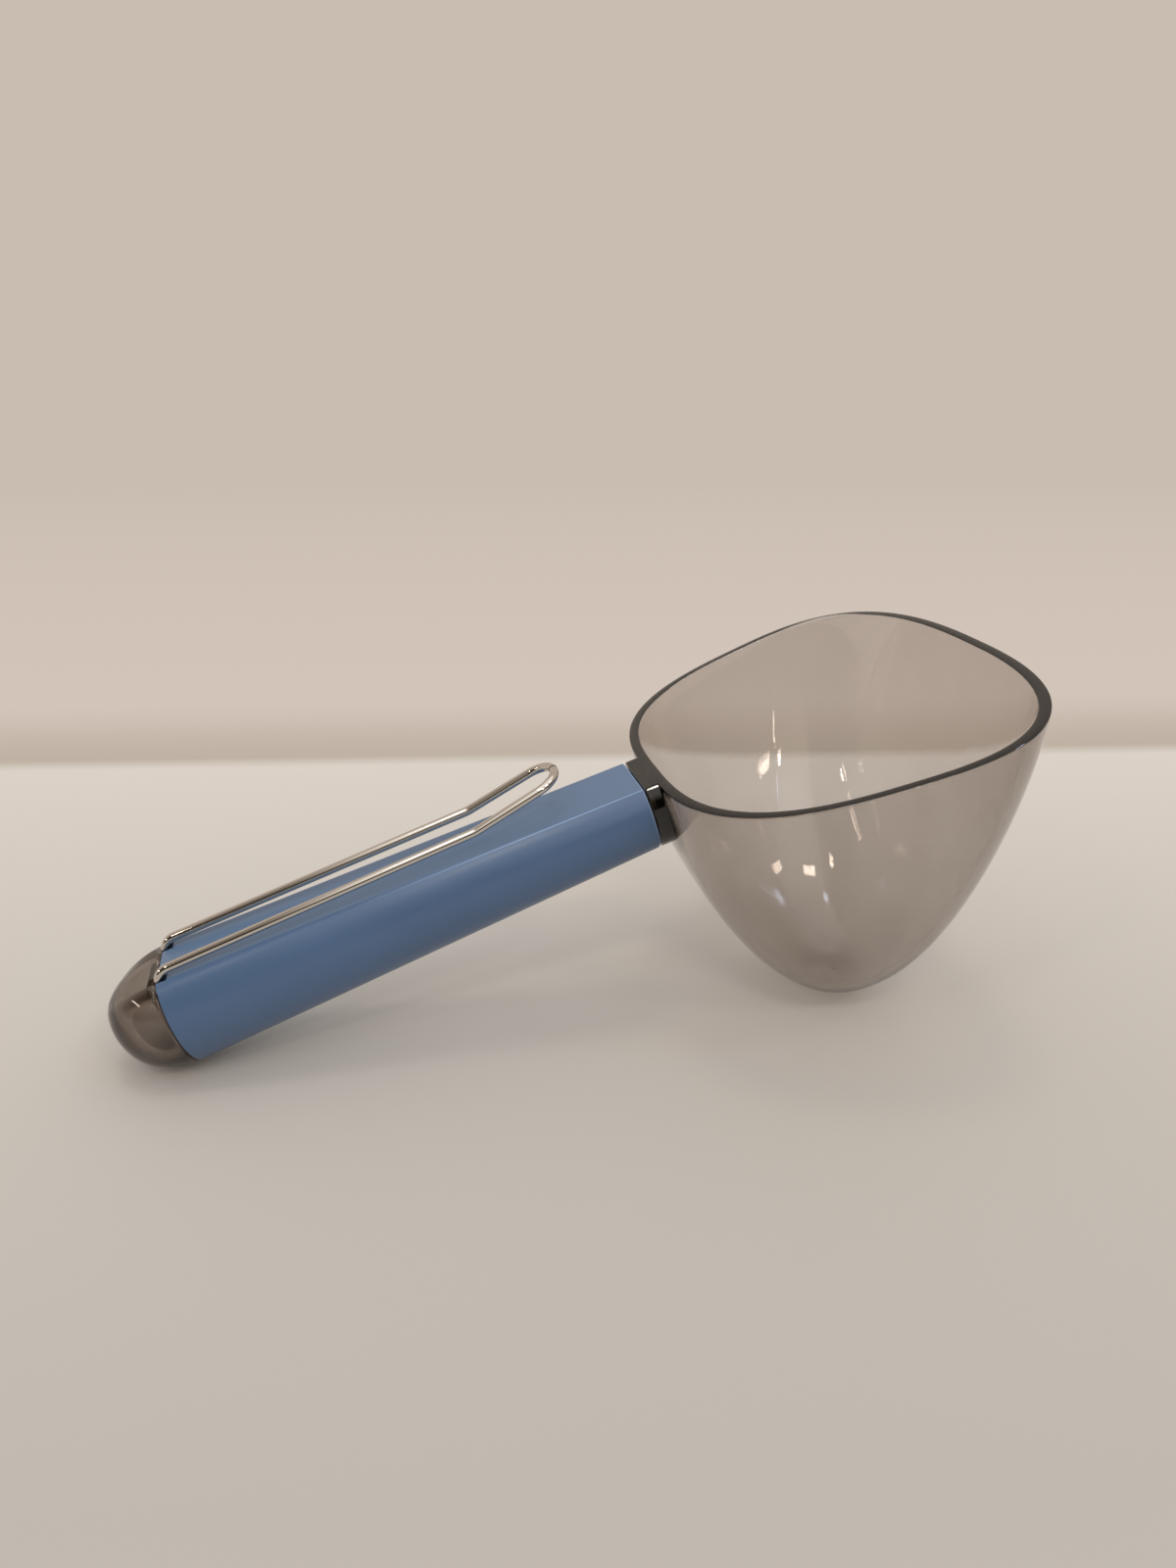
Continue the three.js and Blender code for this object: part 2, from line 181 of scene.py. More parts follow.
def grown_ring(bm, edges):
    """Extrudes a ring of edges in place and gives the vertices and edges of the new ring."""
    grown = bmesh.ops.extrude_edge_only(bm, edges=edges)["geom"]
    verts = [part for part in grown if isinstance(part, bmesh.types.BMVert)]
    new_edges = [part for part in grown if isinstance(part, bmesh.types.BMEdge)]
    return verts, [edge for edge in new_edges if set(verts).issuperset(edge.verts)]


def next_ring(bm, edges, points):
    """Extrudes a ring of edges to the next ring of points."""
    order = bm.verts.layers.int["order"]
    verts, ring = grown_ring(bm, edges)
    for vert in verts:
        vert.co = points[vert[order]]
    return ring


def to_pole(bm, edges, pole):
    """Closes a ring of edges with a fan to one point."""
    tip = next_ring(bm, edges, [pole] * len(edges))
    bmesh.ops.pointmerge(bm, verts=list({vert for edge in tip for vert in edge.verts}), merge_co=pole)


def stood_up(bm, name):
    """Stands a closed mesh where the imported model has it, as an object at the origin."""
    bmesh.ops.transform(bm, matrix=standing, verts=bm.verts)
    bmesh.ops.recalc_face_normals(bm, faces=bm.faces)
    mesh = bpy.data.meshes.new(name)
    bm.to_mesh(mesh)
    bm.free()
    mesh.shade_smooth()
    piece = bpy.data.objects.new(name, mesh)
    bpy.context.collection.objects.link(piece)
    return piece


def combine(piece, tool, operation):
    """Joins a solid to a piece or cuts it out, and throws the solid away."""
    joint = piece.modifiers.new("joint", "BOOLEAN")
    joint.object = tool
    joint.operation = operation
    joint.solver = "EXACT"
    graph = bpy.context.evaluated_depsgraph_get()
    combined = bpy.data.meshes.new_from_object(piece.evaluated_get(graph))
    piece.modifiers.clear()
    old = piece.data
    piece.data = combined
    combined.name = piece.name
    bpy.data.meshes.remove(old)
    bpy.data.objects.remove(tool)


def smooth_shading(piece, sharp_angle):
    """Shades a piece smooth, apart from the edges that turn by more than an angle."""
    piece.data.shade_smooth()
    piece.data.set_sharp_from_angle(angle=sharp_angle)


def linear(hex_colour):
    """An sRGB hex colour as linear RGBA."""
    shares = [int(hex_colour[i:i + 2], 16) / 255 for i in (1, 3, 5)]
    return [s / 12.92 if s <= 0.04045 else ((s + 0.055) / 1.055) ** 2.4 for s in shares] + [1.0]


def bare_material(name):
    """A node material with nothing in it yet."""
    material = bpy.data.materials.new(name)
    material.use_nodes = True
    material.node_tree.nodes.clear()
    return material


def add_node(tree, kind, settings=None, values=None, links=None):
    """Adds a node with its settings, the values of its sockets and the links into them."""
    node = tree.nodes.new(kind)
    for name, setting in (settings or {}).items():
        setattr(node, name, setting)
    for socket, value in (values or {}).items():
        node.inputs[socket].default_value = value
    for socket, source in (links or {}).items():
        tree.links.new(source, node.inputs[socket])
    return node


def finish_with(piece, material):
    """Gives a piece its one material."""
    piece.data.materials.clear()
    piece.data.materials.append(material)


bowl = bmesh.new()
levels = []
for i in range(1, CUP_RINGS + 1):
    spread = cos(i / (CUP_RINGS + POLE_STEP) * pi / 2)
    levels.append((1 - spread ** (1 / CUP_BLUNTNESS)) ** (1 / CUP_SHOULDER))
rim_rounds = []
for i in range(RIM_ROUND_STEPS + 1):
    turn = i / RIM_ROUND_STEPS * pi / 2
    rim_rounds.append((RIM_ROUND * (1 - sin(turn)) / CUP_DEPTH, RIM_ROUND * (1 - cos(turn))))
start = first_ring(bowl, bowl_ring(levels[-1], 0))
ring = start
for level in reversed(levels[:-1]):
    ring = next_ring(bowl, ring, bowl_ring(level, 0))
for level, inset in rim_rounds:
    ring = next_ring(bowl, ring, bowl_ring(level, inset))
for level, inset in reversed(rim_rounds):
    ring = next_ring(bowl, ring, bowl_ring(level, CUP_WALL - inset))
for level in levels:
    ring = next_ring(bowl, ring, bowl_ring(level, CUP_WALL))
pole_x = NECK_LENGTH + MOUTH_LENGTH / 2 - CUP_BOTTOM_SETBACK
to_pole(bowl, start, (pole_x, 0, -CUP_DEPTH))
to_pole(bowl, ring, (pole_x, 0, -CUP_DEPTH + CUP_WALL))
cup = stood_up(bowl, "cup_moulding")

tang_inset = SLEEVE_WALL + FIT_GAP
core_inset = tang_inset + TANG_WALL
neck = bmesh.new()
ring = first_ring(neck, handle_ring(0, 0, NECK_REACH))
bmesh.ops.edgeloop_fill(neck, edges=ring)
for inset, x in (
    (0, NECK_ROUND),
    (NECK_ROUND, 0),
    (tang_inset, 0),
    (tang_inset, -TANG_LENGTH),
    (core_inset, -TANG_LENGTH),
    (core_inset, -TANG_ROOT),
):
    ring = next_ring(neck, ring, handle_ring(0, inset, x))
bmesh.ops.edgeloop_fill(neck, edges=ring)
combine(cup, stood_up(neck, "neck"), "UNION")

foot = bmesh.new()
foot.from_mesh(cup.data)
below = bmesh.ops.bisect_plane(
    foot, geom=foot.verts[:] + foot.edges[:] + foot.faces[:],
    plane_co=(0, 0, 0), plane_no=(0, 0, -1), clear_outer=True,
)
rim_of_flat = [part for part in below["geom_cut"] if isinstance(part, bmesh.types.BMEdge)]
bmesh.ops.edgeloop_fill(foot, edges=rim_of_flat)
bmesh.ops.recalc_face_normals(foot, faces=foot.faces)
foot.to_mesh(cup.data)
foot.free()
gate = bmesh.new()
bmesh.ops.create_cone(
    gate, cap_ends=True, segments=GATE_SIDES,
    radius1=GATE_RADIUS + GATE_RECESS, radius2=GATE_RADIUS - GATE_RECESS, depth=4 * GATE_RECESS,
    matrix=Matrix.Translation((GATE_X, 0, -GATE_DEPTH - GATE_RECESS)),
)
combine(cup, stood_up(gate, "gate_mark"), "DIFFERENCE")
smooth_shading(cup, SHARP_ANGLE)

# Clear SAN, injection moulded in a polished tool: the surface mirrors like glass, and the bulk takes out
# light with depth, most of it blue, so edges and long paths go dark brown-grey. Round the neck the colour
# is painted darker, a painted shade for the dark that the solid neck shows. The walls are faintly wavy from
# cooling, and use has left smudges and a haze of fine rubs. The light that falls on other things goes
# straight through it.
smoke = bare_material("clear_smoke_SAN")
tree = smoke.node_tree
place = add_node(tree, "ShaderNodeTexCoord")
rubs = add_node(
    tree, "ShaderNodeTexNoise",
    values={"Scale": 1 / RUB_SIZE, "Detail": 4.0, "Roughness": 0.6},
    links={"Vector": place.outputs["Object"]},
)
rub_haze = add_node(
    tree, "ShaderNodeMapRange",
    values={"From Min": RUB_START, "From Max": RUB_FULL, "To Min": 0.0, "To Max": RUB_ROUGHNESS},
    links={"Value": rubs.outputs["Fac"]},
)
smudges = add_node(
    tree, "ShaderNodeMapRange",
    values={"From Min": RUB_START, "From Max": RUB_FULL, "To Min": 1.0, "To Max": SMUDGE_PASS},
    links={"Value": rubs.outputs["Fac"]},
)
# Painted shade: the colour goes dark in a ball round the neck, reaching into the cup's wall behind it.
from_neck = add_node(
    tree, "ShaderNodeMapping", {"vector_type": "TEXTURE"},
    values={
        "Location": standing @ Vector((NECK_LENGTH / 2, 0, -NECK_MIDDLE_DEPTH)),
        "Rotation": lean.to_euler(),
        "Scale": NECK_SHADE_REACH,
    },
    links={"Vector": place.outputs["Object"]},
)
near_neck = add_node(
    tree, "ShaderNodeTexGradient", {"gradient_type": "SPHERICAL"},
    links={"Vector": from_neck.outputs["Vector"]},
)
painted_neck_shade = add_node(
    tree, "ShaderNodeMapRange",
    values={"From Max": NECK_SHADE_EDGE, "To Min": 1.0, "To Max": NECK_PAINTED_SHADE_PASS},
    links={"Value": near_neck.outputs["Fac"]},
)
# The painted shade round the neck, times the real smudges.
painted_shade_and_smudges = add_node(
    tree, "ShaderNodeMath", {"operation": "MULTIPLY"},
    links={0: painted_neck_shade.outputs["Result"], 1: smudges.outputs["Result"]},
)
waves = add_node(
    tree, "ShaderNodeTexNoise",
    values={"Scale": 1 / WAVE_SIZE, "Detail": 3.0},
    links={"Vector": place.outputs["Object"]},
)
shrinkage = add_node(
    tree, "ShaderNodeBump",
    values={"Strength": 1.0, "Distance": WAVE_DEPTH},
    links={"Height": waves.outputs["Fac"]},
)
surface = add_node(
    tree, "ShaderNodeBsdfPrincipled",
    values={"IOR": SMOKE_IOR, "Transmission Weight": 1.0},
    links={
        "Base Color": painted_shade_and_smudges.outputs["Value"],
        "Roughness": rub_haze.outputs["Result"],
        "Normal": shrinkage.outputs["Normal"],
    },
)
path = add_node(tree, "ShaderNodeLightPath")
lighting = add_node(
    tree, "ShaderNodeMath", {"operation": "MAXIMUM"},
    links={0: path.outputs["Is Shadow Ray"], 1: path.outputs["Is Diffuse Ray"]},
)
passed = add_node(tree, "ShaderNodeBsdfTransparent", values={"Color": [SURFACE_PASS] * 3 + [1.0]})
clear = add_node(
    tree, "ShaderNodeMixShader",
    links={0: lighting.outputs["Value"], 1: surface.outputs["BSDF"], 2: passed.outputs["BSDF"]},
)
bulk = add_node(
    tree, "ShaderNodeVolumeAbsorption",
    values={"Color": linear(SMOKE_TINT), "Density": SMOKE_DENSITY},
)
add_node(
    tree, "ShaderNodeOutputMaterial",
    links={"Surface": clear.outputs["Shader"], "Volume": bulk.outputs["Volume"]},
)
finish_with(cup, smoke)
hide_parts("scoop_cup")
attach(cup, "scoop")

# Handle sleeve. A tapered tube with a flat along its top, pushed over the cup's tang up to the neck, its
# ends rounded and its rear end notched for the clip's legs. Blue polypropylene with a satin mould finish.
SLEEVE_FRONT_ROUND = 0.0006
SLEEVE_REAR_ROUND = 0.00025
ROUND_STEPS = 4
WIRE_RADIUS = 0.001
CLIP_REAR_SPACING = 0.0132
CLIP_REAR_HEIGHT = 0.00165
CLIP_REAR_BEND = 0.0032
LEG_GAP = 0.0004
LEG_SWING_GAP = 0.001
SLOT_HEADROOM = 0.001
BLUE_DARK = "#475F7E"
BLUE_LIGHT = "#4F688A"
BLUE_FLAT_PAINTED_LIGHT = "#5A7391"
BLUE_PAINTED_HIGHLIGHT = "#8197B6"
BLUE_IOR = 1.49
FLOW_SIZE = 0.008
FLOW_STRETCH = 4
SATIN_SMOOTHEST = 0.285
SATIN_ROUGHEST = 0.34
GRAIN_SIZE = 0.0008
GRAIN_DEPTH = 0.00003
GRAIN_STRENGTH = 0.06
FLAT_BEGINS = 0.975
FLAT_REACHED = 0.995
CREASE_TOP = 0.97
CREASE_HIGH = 0.92
CREASE_LOW = 0.78
CREASE_FOOT = 0.68
PAINTED_HIGHLIGHT_FROM_X = -0.045
PAINTED_HIGHLIGHT_FULLY_X = -0.010
FRONT_EDGE_BEGINS = 0.25
FRONT_EDGE_REACHED = 0.6

tube = bmesh.new()
stations = []
for i in range(ROUND_STEPS + 1):
    turn = i / ROUND_STEPS * pi / 2
    stations.append((SLEEVE_FRONT_ROUND * (1 - cos(turn)), SLEEVE_FRONT_ROUND * (1 - sin(turn))))
for i in range(ROUND_STEPS + 1):
    turn = i / ROUND_STEPS * pi / 2
    station = SLEEVE_LENGTH - SLEEVE_REAR_ROUND * (1 - sin(turn))
    stations.append((station, SLEEVE_REAR_ROUND * (1 - cos(turn))))
stations.append((SLEEVE_LENGTH, SLEEVE_WALL))
stations.append((0, SLEEVE_WALL))
start = first_ring(tube, handle_ring(*stations[0]))
ring = start
for station, inset in stations[1:]:
    ring = next_ring(tube, ring, handle_ring(station, inset))
bmesh.ops.bridge_loops(tube, edges=start + ring)
sleeve = stood_up(tube, "sleeve_tube")


def leg_slot(side):
    """The slot that one of the clip's legs passes down and swings in, as a block to cut away."""
    sunk = max(CLIP_REAR_BEND - CLIP_REAR_HEIGHT, 0)
    ahead = CLIP_REAR_BEND - sqrt((CLIP_REAR_BEND - WIRE_RADIUS) ** 2 - sunk ** 2) + LEG_GAP
    behind = WIRE_RADIUS + LEG_SWING_GAP
    half_width = WIRE_RADIUS + LEG_GAP
    bottom = PIVOT_Z - half_width
    slot = bmesh.new()
    bmesh.ops.create_cube(slot, size=1)
    bmesh.ops.scale(slot, vec=(ahead + behind, 2 * half_width, SLOT_HEADROOM - bottom), verts=slot.verts)
    centre = (PIVOT_X + (ahead - behind) / 2, side * CLIP_REAR_SPACING / 2, (SLOT_HEADROOM + bottom) / 2)
    bmesh.ops.translate(slot, vec=centre, verts=slot.verts)
    return stood_up(slot, "leg_slot")


for side in (-1, 1):
    combine(sleeve, leg_slot(side), "DIFFERENCE")
smooth_shading(sleeve, SHARP_ANGLE)

# Polypropylene moulded against a lightly blasted tool: a soft sheen with a very fine grain, drawn coarser
# than it is so that it shows, and slightly uneven colour where the melt flowed along the handle. A pale
# painted highlight runs along the front half of the crease and round the front edge, and the flat on top
# is painted lighter, painted light on the top face.
blue = bare_material("satin_blue_polypropylene")
tree = blue.node_tree
place = add_node(tree, "ShaderNodeTexCoord")
along = add_node(
    tree, "ShaderNodeMapping",
    values={"Scale": (1 / FLOW_STRETCH, 1.0, 1.0)},
    links={"Vector": place.outputs["Object"]},
)
flow = add_node(
    tree, "ShaderNodeTexNoise",
    values={"Scale": 1 / FLOW_SIZE, "Detail": 3.0},
    links={"Vector": along.outputs["Vector"]},
)
tint = add_node(
    tree, "ShaderNodeMix", {"data_type": "RGBA"},
    values={6: linear(BLUE_DARK), 7: linear(BLUE_LIGHT)},
    links={0: flow.outputs["Fac"]},
)
upward = add_node(
    tree, "ShaderNodeVectorMath", {"operation": "DOT_PRODUCT"},
    values={1: rim_up},
    links={0: place.outputs["Normal"]},
)
# Painted light: the flat on top is given a lighter blue.
on_flat = add_node(
    tree, "ShaderNodeMapRange",
    values={"From Min": FLAT_BEGINS, "From Max": FLAT_REACHED},
    links={"Value": upward.outputs["Value"]},
)
with_painted_flat_light = add_node(
    tree, "ShaderNodeMix", {"data_type": "RGBA"},
    values={7: linear(BLUE_FLAT_PAINTED_LIGHT)},
    links={0: on_flat.outputs["Result"], 6: tint.outputs[2]},
)
# Painted highlight: a pale line along the crease, fading out towards the rear, and round the front edge.
over_crease = add_node(
    tree, "ShaderNodeMapRange",
    values={"From Min": CREASE_TOP, "From Max": CREASE_HIGH},
    links={"Value": upward.outputs["Value"]},
)
under_crease = add_node(
    tree, "ShaderNodeMapRange",
    values={"From Min": CREASE_FOOT, "From Max": CREASE_LOW},
    links={"Value": upward.outputs["Value"]},
)
on_crease = add_node(
    tree, "ShaderNodeMath", {"operation": "MULTIPLY"},
    links={0: over_crease.outputs["Result"], 1: under_crease.outputs["Result"]},
)
position = add_node(tree, "ShaderNodeSeparateXYZ", links={"Vector": place.outputs["Object"]})
to_front = add_node(
    tree, "ShaderNodeMapRange",
    values={"From Min": PAINTED_HIGHLIGHT_FROM_X, "From Max": PAINTED_HIGHLIGHT_FULLY_X},
    links={"Value": position.outputs["X"]},
)
on_front_crease = add_node(
    tree, "ShaderNodeMath", {"operation": "MULTIPLY"},
    links={0: on_crease.outputs["Value"], 1: to_front.outputs["Result"]},
)
forward = add_node(
    tree, "ShaderNodeVectorMath", {"operation": "DOT_PRODUCT"},
    values={1: along_handle},
    links={0: place.outputs["Normal"]},
)
on_front_edge = add_node(
    tree, "ShaderNodeMapRange",
    values={"From Min": FRONT_EDGE_BEGINS, "From Max": FRONT_EDGE_REACHED},
    links={"Value": forward.outputs["Value"]},
)
painted_highlight_mask = add_node(
    tree, "ShaderNodeMath", {"operation": "MAXIMUM"},
    links={0: on_front_crease.outputs["Value"], 1: on_front_edge.outputs["Result"]},
)
with_painted_highlight = add_node(
    tree, "ShaderNodeMix", {"data_type": "RGBA"},
    values={7: linear(BLUE_PAINTED_HIGHLIGHT)},
    links={0: painted_highlight_mask.outputs["Value"], 6: with_painted_flat_light.outputs[2]},
)
sheen = add_node(
    tree, "ShaderNodeMapRange",
    values={"To Min": SATIN_SMOOTHEST, "To Max": SATIN_ROUGHEST},
    links={"Value": flow.outputs["Fac"]},
)
grain = add_node(
    tree, "ShaderNodeTexNoise",
    values={"Scale": 1 / GRAIN_SIZE, "Detail": 2.0},
    links={"Vector": place.outputs["Object"]},
)
dimples = add_node(
    tree, "ShaderNodeBump",
    values={"Strength": GRAIN_STRENGTH, "Distance": GRAIN_DEPTH},
    links={"Height": grain.outputs["Fac"]},
)
surface = add_node(
    tree, "ShaderNodeBsdfPrincipled",
    values={"IOR": BLUE_IOR},
    links={
        "Base Color": with_painted_highlight.outputs[2],
        "Roughness": sheen.outputs["Result"],
        "Normal": dimples.outputs["Normal"],
    },
)
add_node(tree, "ShaderNodeOutputMaterial", links={"Surface": surface.outputs["BSDF"]})
finish_with(sleeve, blue)
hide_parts("handle_sleeve")
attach(sleeve, "scoop")

# End cap. A hollow dome in the cup's plastic, flush with the sleeve, on a plug that presses into the
# sleeve's rear end. A lug under the plug's top wall has the cross hole that the clip's hooked feet turn in.
CAP_LENGTH = 0.0137
CAP_FULLNESS = 2.36
CAP_POLE_RAISE = 0.0022
CAP_CREASE_FADE = 1.5
CAP_WALL = 0.0042
CAP_FLANGE = 0.0024
CAP_EDGE_ROUND = 0.00025
DOME_RINGS = 28
FLAT_POINTS = 12
PLUG_LENGTH = 0.014
PLUG_WALL = 0.0018
LUG_LENGTH = 0.006
PIN_GAP = 0.00015
PIN_HOLE_SIDES = 32
FOOT_BEND = 0.0015
DOME_ROUGHNESS = 0.02
CORE_ROUGHNESS = 0.65
CORE_EDGE = 0.001
CAP_SURFACE_PASS = 0.7

cap_front = -2 * JOINT_GAP - SLEEVE_LENGTH
rear_axis_depth = sqrt(REAR_RADIUS ** 2 - (REAR_FLAT / 2) ** 2)
pole_z = CAP_POLE_RAISE - rear_axis_depth


def with_flat(points):
    """A ring round the handle with more points across its flat."""
    start, end = Vector(points[-1]), Vector(points[0])
    return points + [tuple(start.lerp(end, i / FLAT_POINTS)) for i in range(1, FLAT_POINTS)]


def dome_ring(rise, inset, flange):
    """The points round the dome where it has risen by a share of its length. The sleeve's rear section
    shrinks and turns into an oval of the same height and width, so that the crease fades before the pole."""
    shrink = (1 - rise ** CAP_FULLNESS) ** (1 / CAP_FULLNESS)
    x = cap_front - flange - rise * (CAP_LENGTH - flange - inset)
    half_height = (REAR_RADIUS + rear_axis_depth) / 2
    points = []
    for _, y, z in with_flat(handle_ring(SLEEVE_LENGTH, inset)):
        up = z + half_height
        stretch = 1 / hypot(y / (REAR_RADIUS - inset), up / (half_height - inset))
        change = mix(1, stretch, rise ** CAP_CREASE_FADE)
        points.append((x, y * change * shrink, mix(pole_z, up * change - half_height, shrink)))
    return points


rises = [sin(i / (DOME_RINGS + POLE_STEP) * pi / 2) for i in range(1, DOME_RINGS + 1)]
plug_front = SLEEVE_LENGTH - PLUG_LENGTH
plug_inset = SLEEVE_WALL + FIT_GAP
hollow_inset = plug_inset + PLUG_WALL
shell = bmesh.new()
start = first_ring(shell, dome_ring(rises[-1], 0, 0))
ring = start
for rise in reversed(rises[:-1]):
    ring = next_ring(shell, ring, dome_ring(rise, 0, 0))
for station, inset, x in (
    (SLEEVE_LENGTH, 0, cap_front - CAP_EDGE_ROUND),
    (SLEEVE_LENGTH, CAP_EDGE_ROUND, cap_front),
    (SLEEVE_LENGTH + JOINT_GAP, plug_inset, cap_front),
    (plug_front, plug_inset, None),
    (plug_front, hollow_inset, None),
    (SLEEVE_LENGTH + JOINT_GAP, hollow_inset, cap_front - CAP_FLANGE),
    (SLEEVE_LENGTH, CAP_WALL, cap_front - CAP_FLANGE),
):
    ring = next_ring(shell, ring, with_flat(handle_ring(station, inset, x)))
for rise in rises:
    ring = next_ring(shell, ring, dome_ring(rise, CAP_WALL, CAP_FLANGE))
to_pole(shell, start, (cap_front - CAP_LENGTH, 0, pole_z))
to_pole(shell, ring, (cap_front - CAP_LENGTH + CAP_WALL, 0, pole_z))
cap = stood_up(shell, "cap_dome")
for side in (-1, 1):
    combine(cap, leg_slot(side), "DIFFERENCE")

pin_hole = WIRE_RADIUS + PIN_GAP
lug_half_width = CLIP_REAR_SPACING / 2 - WIRE_RADIUS - LEG_GAP - FOOT_BEND / 2
lug_top = -plug_inset - PLUG_WALL / 2
lug_bottom = PIVOT_Z - pin_hole - PLUG_WALL
lug = bmesh.new()
bmesh.ops.create_cube(lug, size=1)
bmesh.ops.scale(lug, vec=(LUG_LENGTH, 2 * lug_half_width, lug_top - lug_bottom), verts=lug.verts)
bmesh.ops.translate(lug, vec=(PIVOT_X, 0, (lug_top + lug_bottom) / 2), verts=lug.verts)
combine(cap, stood_up(lug, "lug"), "UNION")
hole = bmesh.new()
bmesh.ops.create_cone(
    hole, cap_ends=True, segments=PIN_HOLE_SIDES,
    radius1=pin_hole, radius2=pin_hole, depth=CLIP_REAR_SPACING,
    matrix=Matrix.Translation((PIVOT_X, 0, PIVOT_Z)) @ Matrix.Rotation(pi / 2, 4, "X"),
)
combine(cap, stood_up(hole, "pin_hole"), "DIFFERENCE")
smooth_shading(cap, SHARP_ANGLE)

# The cup's plastic. The core side of the mould isn't polished, so the faces that look into the hollow are
# matt, and only a blur shows through the dome. Its thick wall also holds back more of the light that falls
# through it.
matt_inside = smoke.copy()
matt_inside.name = "clear_smoke_SAN_matt_inside"
tree = matt_inside.node_tree
place = tree.nodes["Texture Coordinate"]
dome_middle = standing @ Vector((cap_front - CAP_FLANGE, 0, -rear_axis_depth))
to_middle = add_node(
    tree, "ShaderNodeVectorMath", {"operation": "SUBTRACT"},
    values={0: dome_middle},
    links={1: place.outputs["Object"]},
)
inward = add_node(
    tree, "ShaderNodeVectorMath", {"operation": "DOT_PRODUCT"},
    links={0: to_middle.outputs["Vector"], 1: place.outputs["Normal"]},
)
finish = add_node(
    tree, "ShaderNodeMapRange",
    values={"From Max": CORE_EDGE, "To Min": DOME_ROUGHNESS, "To Max": CORE_ROUGHNESS},
    links={"Value": inward.outputs["Value"]},
)
tree.links.new(finish.outputs["Result"], tree.nodes["Principled BSDF"].inputs["Roughness"])
tree.nodes["Transparent BSDF"].inputs["Color"].default_value = [CAP_SURFACE_PASS] * 3 + [1.0]
finish_with(cap, matt_inside)
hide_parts("end_cap")
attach(cap, "scoop")

# Wire clip. One length of 2 mm stainless spring wire, bent on pins: hooked feet in the cap's lug, legs up
# through the slots, a run along the flat, and a lifted loop that a bag's edge slides under. It turns about
# its feet. Half of it is drawn, up to the middle of the loop, and mirrored.
CLIP_BEND_SPACING = 0.0116
CLIP_TIP_SPACING = 0.0107
CLIP_BEND_HEIGHT = 0.0041
CLIP_RUN = 0.0708
CLIP_TIP_RUN = 0.0202
CLIP_TIP_LIFT = radians(11.4)
CLIP_PIN_LENGTH = 0.004
CLIP_FRONT_BEND = 0.006
WIRE_SIDES = 32
BEND_STEP = radians(5)
MIRROR_MERGE = 0.00002
WELD_REACH = 0.000005
WIRE_SHARP_ANGLE = radians(50)
STEEL_TONE = "#D6D0C8"
LINE_SIZE = 0.0004
LINE_STRETCH = 100.0
LINE_SMOOTHEST = 0.025
LINE_ROUGHEST = 0.04

tip_height = CLIP_BEND_HEIGHT + CLIP_TIP_RUN * tan(CLIP_TIP_LIFT)
corners = [
    Vector((PIVOT_X, CLIP_REAR_SPACING / 2 - CLIP_PIN_LENGTH, PIVOT_Z)),
    Vector((PIVOT_X, CLIP_REAR_SPACING / 2, PIVOT_Z)),
    Vector((PIVOT_X, CLIP_REAR_SPACING / 2, CLIP_REAR_HEIGHT)),
    Vector((PIVOT_X + CLIP_RUN, CLIP_BEND_SPACING / 2, CLIP_BEND_HEIGHT)),
    Vector((PIVOT_X + CLIP_RUN + CLIP_TIP_RUN, CLIP_TIP_SPACING / 2, tip_height)),
    Vector((PIVOT_X + CLIP_RUN + CLIP_TIP_RUN, 0, tip_height)),
]
narrowing = (CLIP_BEND_SPACING - CLIP_TIP_SPACING) / 2
tip_turn = pi / 2 + atan2(narrowing, CLIP_TIP_RUN / cos(CLIP_TIP_LIFT))
bends = [FOOT_BEND, CLIP_REAR_BEND, CLIP_FRONT_BEND, CLIP_TIP_SPACING / 2 / tan(tip_turn / 2)]
wire = bmesh.new()
bmesh.ops.create_circle(
    wire, cap_ends=True, segments=WIRE_SIDES, radius=WIRE_RADIUS,
    matrix=Matrix.Translation(corners[0]) @ Matrix.Rotation(pi / 2, 4, "X"),
)
ring = wire.edges[:]
drawn = corners[0]
for before, corner, after, bend in zip(corners, corners[1:], corners[2:], bends):
    arriving = (corner - before).normalized()
    leaving = (after - corner).normalized()
    turn = arriving.angle(leaving)
    straight_end = corner - arriving * bend * tan(turn / 2)
    moved, ring = grown_ring(wire, ring)
    bmesh.ops.translate(wire, vec=straight_end - drawn, verts=moved)
    inwards = (leaving - arriving * arriving.dot(leaving)).normalized()
    bent = bmesh.ops.spin(
        wire, geom=moved + ring, cent=straight_end + inwards * bend,
        axis=arriving.cross(leaving).normalized(), angle=turn, steps=ceil(turn / BEND_STEP),
    )["geom_last"]
    ring = [part for part in bent if isinstance(part, bmesh.types.BMEdge)]
    drawn = corner + leaving * bend * tan(turn / 2)
half = wire.verts[:] + wire.edges[:] + wire.faces[:]
bmesh.ops.mirror(wire, geom=half, merge_dist=MIRROR_MERGE, axis="Y")
bmesh.ops.remove_doubles(wire, verts=wire.verts, dist=WELD_REACH)
clip = stood_up(wire, "bent_wire")
smooth_shading(clip, WIRE_SHARP_ANGLE)

